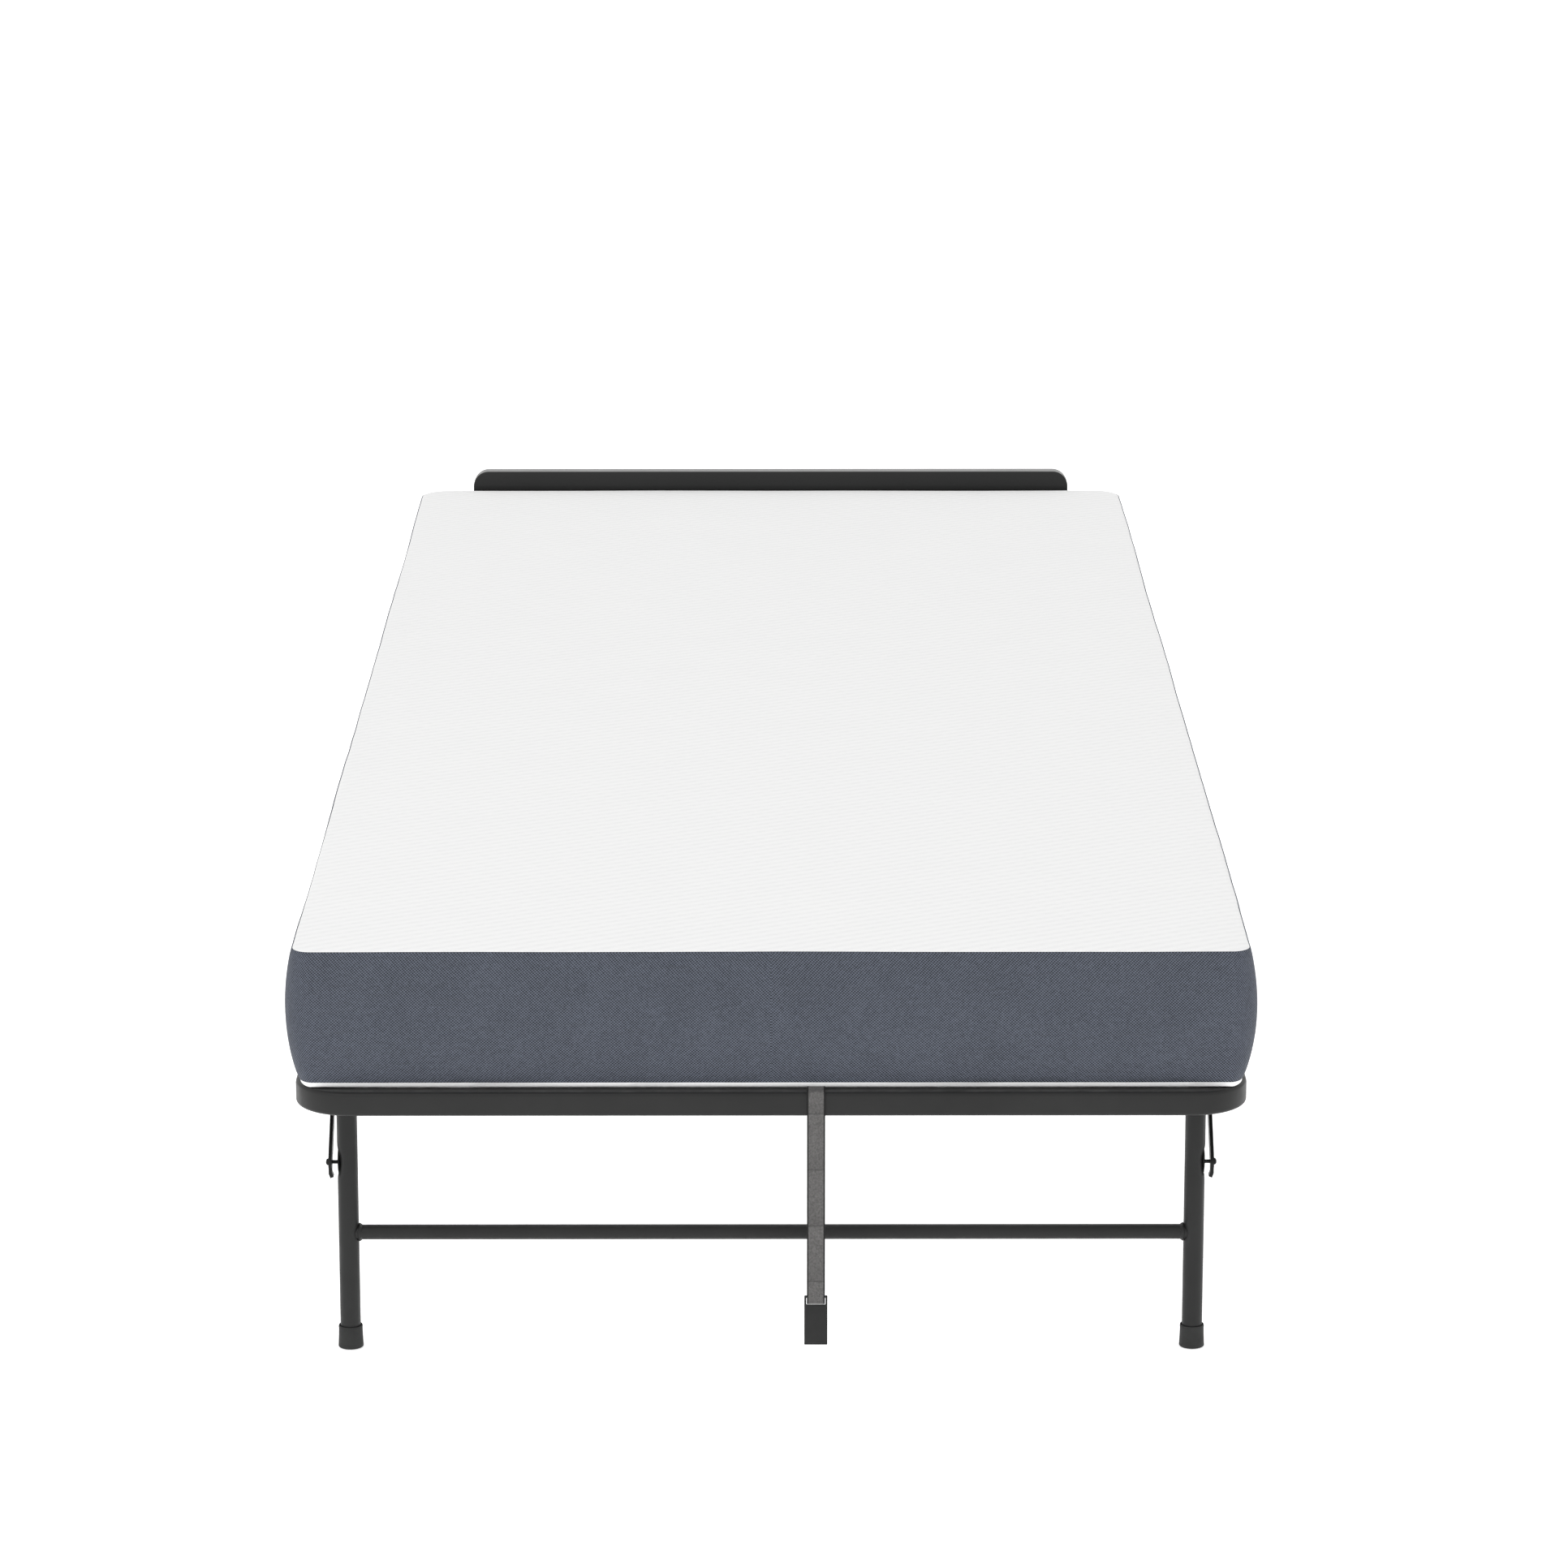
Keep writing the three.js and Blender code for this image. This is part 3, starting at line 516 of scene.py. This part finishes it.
def mattress_half(end):
    """A closed half mattress: bottom, wall and top share their edges, and a flat face closes the middle."""
    sign = ENDS[end]
    rows = mattress_rows(end)
    verts, faces, kinds = [], [], []

    def index(start, i, j):
        return start + i * (COLUMNS + 1) + j

    def grid(height, wide, long, kind):
        """A grid of quads. Wide and long say how far its edges lie outside the seam (inside if negative)."""
        start = len(verts)
        for y, w in rows:
            for j in range(COLUMNS + 1):
                x = w * (2 * j / COLUMNS - 1)
                verts.append(Vector((x * (1 + wide / TOP_HALF_WIDTH),
                                     sign * y * (1 + (long / TOP_HALF_LENGTH) * (y / TOP_HALF_LENGTH)),
                                     height(x, y, w))))
        for i in range(len(rows) - 1):
            for j in range(COLUMNS):
                faces.append((index(start, i, j), index(start, i, j + 1), index(start, i + 1, j + 1),
                              index(start, i + 1, j)))
                kinds.append(kind)
        return start

    profile = border_profile()
    bottom = grid(lambda x, y, w: profile[0][2], -0.0105, 0.0, 0)
    top = grid(lambda x, y, w: SEAM_Z + 0.0015 + rise(x, y, w), -0.0046, -0.0046, 2)

    last = len(rows) - 1
    rim = [(i, 0) for i in range(last)] + [(last, j) for j in range(COLUMNS + 1)]
    rim += [(i, COLUMNS) for i in range(last - 1, -1, -1)]
    seam = [Vector((rows[i][1] * (2 * j / COLUMNS - 1), sign * rows[i][0], 0)) for i, j in rim]
    outward = outward_at(seam, sign)
    rings = [([index(bottom, i, j) for i, j in rim], 0)]
    for level in profile:
        rings.append((list(range(len(verts), len(verts) + len(seam))), level[3]))
        verts += [wall_point(p, out, level) for p, out in zip(seam, outward)]
    rings.append(([index(top, i, j) for i, j in rim], 2))
    for (low, _), (high, kind) in zip(rings, rings[1:]):
        for k in range(len(rim) - 1):
            faces.append((low[k], low[k + 1], high[k + 1], high[k]))
            kinds.append(kind)

    left = [ring[0] for ring, _ in rings]
    right = [ring[-1] for ring, _ in rings]
    across_bottom = [index(bottom, 0, j) for j in range(1, COLUMNS)]
    across_top = [index(top, 0, j) for j in range(1, COLUMNS)]
    faces.append(tuple(left + across_top + right[::-1] + across_bottom[::-1]))
    kinds.append(0)

    mesh = bpy.data.meshes.new(f"mattress_{end}_half")
    mesh.from_pydata([tuple(v) for v in verts], [], faces)
    for material in (MATERIAL["bottom"], MATERIAL["border"], MATERIAL["top"]):
        mesh.materials.append(material)
    mesh.polygons.foreach_set("material_index", kinds)
    bm = bmesh.new()
    bm.from_mesh(mesh)
    bmesh.ops.recalc_face_normals(bm, faces=bm.faces)
    bm.to_mesh(mesh)
    bm.free()
    obj = bpy.data.objects.new(f"mattress_{end}_half", mesh)
    bpy.context.scene.collection.objects.link(obj)
    shade(mesh, 50)
    mark_rest(obj)
    return obj


def add_mattress():
    for end, sign in ENDS.items():
        half = mattress_half(end)
        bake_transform(half)
        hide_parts(f"mattress_{end}", "mattress_center")


# ---- frame ----
def arc(centre, radius, stop, steps, z):
    """Points at height z on an arc that starts in the direction of +X."""
    return [Vector((centre[0] + radius * math.cos(stop * k / steps),
                    centre[1] + radius * math.sin(stop * k / steps), z))
            for k in range(steps + 1)]


def add_deck_rail(end):
    sign = ENDS[end]
    low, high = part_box(f"{end}_deck_frame")
    size = high.z - low.z
    z = (low.z + high.z) / 2
    x = high.x - size / 2
    tip = (high.y if sign > 0 else low.y) - sign * size / 2
    root = low.y if sign > 0 else high.y
    right = arc((x - DECK_BEND, tip - sign * DECK_BEND), DECK_BEND, sign * math.pi / 2, 20, z)
    left = [Vector((-p.x, p.y, p.z)) for p in reversed(right)]
    path = [Vector((x, root, z))] + right + left + [Vector((-x, root, z))]
    rail = swept(f"{end}_deck_rail", path, rounded_section(size, size, 0.0032, 5), MATERIAL["coat"])
    keep(rail, f"{end}_deck", "frame", f"{end}_deck_frame")


def leg_shape(end, side):
    """The round leg, pressed flat on its outer side where the brace's rivet goes in."""
    low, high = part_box(f"{end}_leg_frame")
    centre = Vector((side * (high.x - LEG_RADIUS), (low.y + high.y) / 2, 0))
    heights = np.concatenate([np.linspace(low.z, 0.143, 10), np.linspace(0.1445, 0.179, 30),
                              np.linspace(0.181, high.z, 8)])
    dent_depth, dent_half_height, dent_half_width = 0.0026, 0.0095, 0.0082
    steps = 40
    verts = []
    for z in heights:
        depth = dent_depth * math.exp(-(((z - RIVET_Z) / dent_half_height) ** 2) ** 1.5)
        for k in range(steps):
            a = 2 * math.pi * k / steps
            x, y = LEG_RADIUS * math.cos(a), LEG_RADIUS * math.sin(a)
            if x * side > 0:
                x -= side * depth * max(0.0, 1 - (y / dent_half_width) ** 2)
            verts.append(centre + Vector((x, y, z)))
    return verts, ring_faces(len(heights), steps) + end_caps(len(heights), steps)


def add_leg_frame(end):
    body = f"{end}_leg"
    low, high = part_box(f"{end}_leg_frame")
    y = (low.y + high.y) / 2
    middle = high.x - LEG_RADIUS
    weld_bead = [(0.0066, 0.0079), (0.0074, 0.0082), (0.0078, 0.0092), (0.0070, 0.0104),
                 (0.0063, 0.0112), (0.0058, 0.0112), (0.0058, 0.0079), (0.0066, 0.0079)]
    for label, side in SIDES.items():
        verts, faces = leg_shape(end, side)
        leg = new_object(f"{end}_leg_{label}", verts, faces, MATERIAL["coat"])
        keep(leg, body, "frame", f"{end}_leg_frame")
        weld = turned(f"{end}_weld_{label}", weld_bead, (side * middle, y, CROSSBAR_Z), (-side, 0, 0),
                      MATERIAL["coat"])
        keep(weld, body, "frame")
        add_rubber_foot(end, label)
        # painted shade: a dark lens set in the rivet's dent, where there is only shadow
        add_dent_shade_lens(end, label, (side * (middle + 0.0070), y, RIVET_Z))
    reach = middle - 0.004
    bar = swept(f"{end}_crossbar", [Vector((-reach, y, CROSSBAR_Z)), Vector((reach, y, CROSSBAR_Z))],
                round_section(CROSSBAR_RADIUS, 36), MATERIAL["coat"])
    keep(bar, body, "frame")


def add_dent_shade_lens(end, label, place):
    """A dark lens that fills the dent behind the brace's rivet: painted shade, a dark piece put where the
    dent is only in shadow.
    """
    half = (0.0014, 0.0045, 0.0125)
    verts = []
    bands, steps = 14, 20
    for i in range(bands + 1):
        a = math.pi * i / bands
        for k in range(steps):
            b = 2 * math.pi * k / steps
            verts.append(Vector((place[0] + half[0] * math.sin(a) * math.cos(b),
                                 place[1] + half[1] * math.sin(a) * math.sin(b),
                                 place[2] - half[2] * math.cos(a))))
    shade_lens = new_object(f"{end}_dent_shade_lens_{label}", verts, ring_faces(bands + 1, steps), MATERIAL["steel"])
    tidy(shade_lens)
    keep(shade_lens, f"{end}_leg", "fastener")


def add_rubber_foot(end, label):
    node = f"{end}_rubber_foot_{label}"
    low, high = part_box(node)
    centre = (low + high) / 2
    h = high.z - low.z
    sole = [(0, 0.0008), (0.0070, 0.0008), (0.0078, 0), (0.0099, 0), (0.0104, 0.0004), (0.0105, 0.0012)]
    wall = [(0.0104, 0.0026), (0.0101, 0.010), (0.00995, h - 0.0026), (0.0101, h - 0.0014)]
    lip = [(0.0099, h - 0.0004), (0.0096, h), (0.0092, h - 0.0002), (0.0089, h - 0.0010)]
    inside = [(0.0089, 0.0045), (0, 0.0045)]
    profile = sole + wall + lip + inside
    foot = turned(f"{end}_foot_{label}", profile, (centre.x, centre.y, low.z), (0, 0, 1),
                  MATERIAL["rubber"], 56)
    keep(foot, f"{end}_leg", "rubber", node)


def add_rivet(end, label, side):
    node = f"{end}_brace_rivet_{label}"
    low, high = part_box(node)
    start = low.x if side > 0 else high.x
    length = high.x - low.x
    middle = (low + high) / 2
    face = length - 0.0021  # where the head starts
    shank, head, rim, dome = 0.00155, 0.0028, 0.0004, 0.0017
    profile = [(0, 0), (shank, 0), (shank, face), (head, face), (0.00282, face + rim)]
    for k in range(1, 9):
        a = math.pi / 2 * k / 8
        profile.append((head * math.cos(a), face + rim + dome * math.sin(a)))
    rivet = turned(f"{end}_rivet_{label}", profile, (start, middle.y, middle.z), (side, 0, 0),
                   MATERIAL["steel"], 32)
    keep(rivet, f"{end}_leg", "fastener", node)


def add_frame():
    for end in ENDS:
        add_deck_rail(end)
        add_leg_frame(end)
        for label, side in SIDES.items():
            add_rivet(end, label, side)
            refined(f"{end}_brace_{label}", MATERIAL["steel"], 0.0004)
            refined(f"{end}_leg_bracket_{label}", MATERIAL["coat"], 0.0004)
            refined(f"{end}_hinge_bolt_{label}", MATERIAL["steel"], 0.0005)
        for i in range(1, 5):
            refined(f"{end}_slat_{i}", MATERIAL["coat"], 0.0006)
        refined(f"caster_post_frame_{end}", MATERIAL["coat"], 0.0005)
    for label in SIDES:
        refined(f"side_rail_{label}", MATERIAL["coat"], 0.0004)
        refined(f"hinge_plate_{label}", MATERIAL["coat"], 0.0005)
        refined(f"panel_bar_{label}", MATERIAL["coat"], 0.0004)
    for i in (1, 2):
        refined(f"center_slat_{i}", MATERIAL["coat"], 0.0006)


# ---- casters ----
def add_casters():
    for end in ENDS:
        for label in SIDES:
            refined(f"caster_fork_{end}_{label}", MATERIAL["zinc"], 0.0004)
            refined(f"caster_wheel_{end}_{label}", MATERIAL["tread"], 0.0006, 30)
    for label in SIDES:
        refined(f"brake_pedal_{label}", MATERIAL["rubber"], 0.0006)


# ---- head panel and strap ----
def add_head_panel():
    low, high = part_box("head_panel")
    r = PANEL_CORNER
    outline = [(low.x, low.z), (high.x, low.z)]
    for cx, start in ((high.x - r, 0), (low.x + r, 90)):
        for k in range(17):
            a = math.radians(start + 90 * k / 16)
            outline.append((cx + r * math.cos(a), high.z - r + r * math.sin(a)))
    verts = []
    layers = ((0, PANEL_EASE), (PANEL_EASE * 0.3, PANEL_EASE * 0.3), (PANEL_EASE, 0))
    depth = high.y - low.y
    rings = [(inset, y) for y, inset in layers] + [(inset, depth - y) for y, inset in reversed(layers)]
    middle = Vector(((low.x + high.x) / 2, 0, (low.z + high.z) / 2))
    for inset, y in rings:
        for x, z in outline:
            pull = Vector((math.copysign(min(inset, abs(x - middle.x)), middle.x - x), 0,
                           math.copysign(inset, middle.z - z)))
            verts.append(Vector((x, low.y + y, z)) + pull)
    faces = ring_faces(len(rings), len(outline)) + end_caps(len(rings), len(outline))
    panel = new_object("head_board", verts, faces, MATERIAL["panel"], 50)
    keep(panel, "head_deck", "panel", "head_panel")


def add_strap():
    low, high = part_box("strap_tail")
    loop_low, loop_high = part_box("strap_loop")
    x = (low.x + high.x) / 2
    thick = high.y - low.y
    front = (low.y + high.y) / 2
    top = loop_high.z - thick / 2
    back = loop_high.y - thick / 2
    under = loop_low.z + thick / 2
    r = 0.0022  # how tightly it bends round the rail's edges
    over = [(back, under + 0.003), (back, top - r)]
    for k in range(1, 7):
        a = math.pi / 2 * k / 6
        over.append((back - r + r * math.cos(a), top - r + r * math.sin(a)))
    for k in range(7):
        a = math.pi / 2 * (1 + k / 6)
        over.append((front + r + r * math.cos(a), top - r + r * math.sin(a)))
    straight = [(front, z) for z in np.linspace(top - r - 0.004, 0.224, 4)]
    hinge = [(front, z) for z in np.linspace(0.222, 0.206, 17)]
    hanging = [(front + 0.00025 * math.sin((0.2 - z) * 55), z) for z in np.linspace(0.200, low.z, 40)]
    points = [Vector((x, y, z)) for y, z in over + straight + hinge + hanging]
    section = rounded_section(thick, high.x - low.x, 0.0005, 2)
    strap = swept("closing_strap", points, section, MATERIAL["webbing"], up=Vector((1, 0, 0)))
    mark_rest(strap)
    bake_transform(strap)
    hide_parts("strap_tail", "strap_loop")
    refined("strap_buckle", MATERIAL["coat"], 0.0003)
    refined("strap_hook", MATERIAL["coat"], 0.0003)


MATERIAL = {
    "coat": powder_coat(),
    "steel": dark_steel(),
    "zinc": zinc_plate(),
    "rubber": moulded_rubber("foot_rubber", (0.018, 0.0185, 0.018)),
    "tread": moulded_rubber("wheel_rubber", (0.060, 0.062, 0.066)),
    "panel": panel_laminate(),
    "border": border_weave(),
    "top": knit_top(),
    "bottom": bottom_cloth(),
    "webbing": strap_webbing(),
}

add_camera()
add_stage()
add_light("key", (-2.2, -3.4, 3.6), (0, 0, 0.2), 3.0, 30)
add_frame()
add_casters()
add_head_panel()
add_strap()
add_mattress()
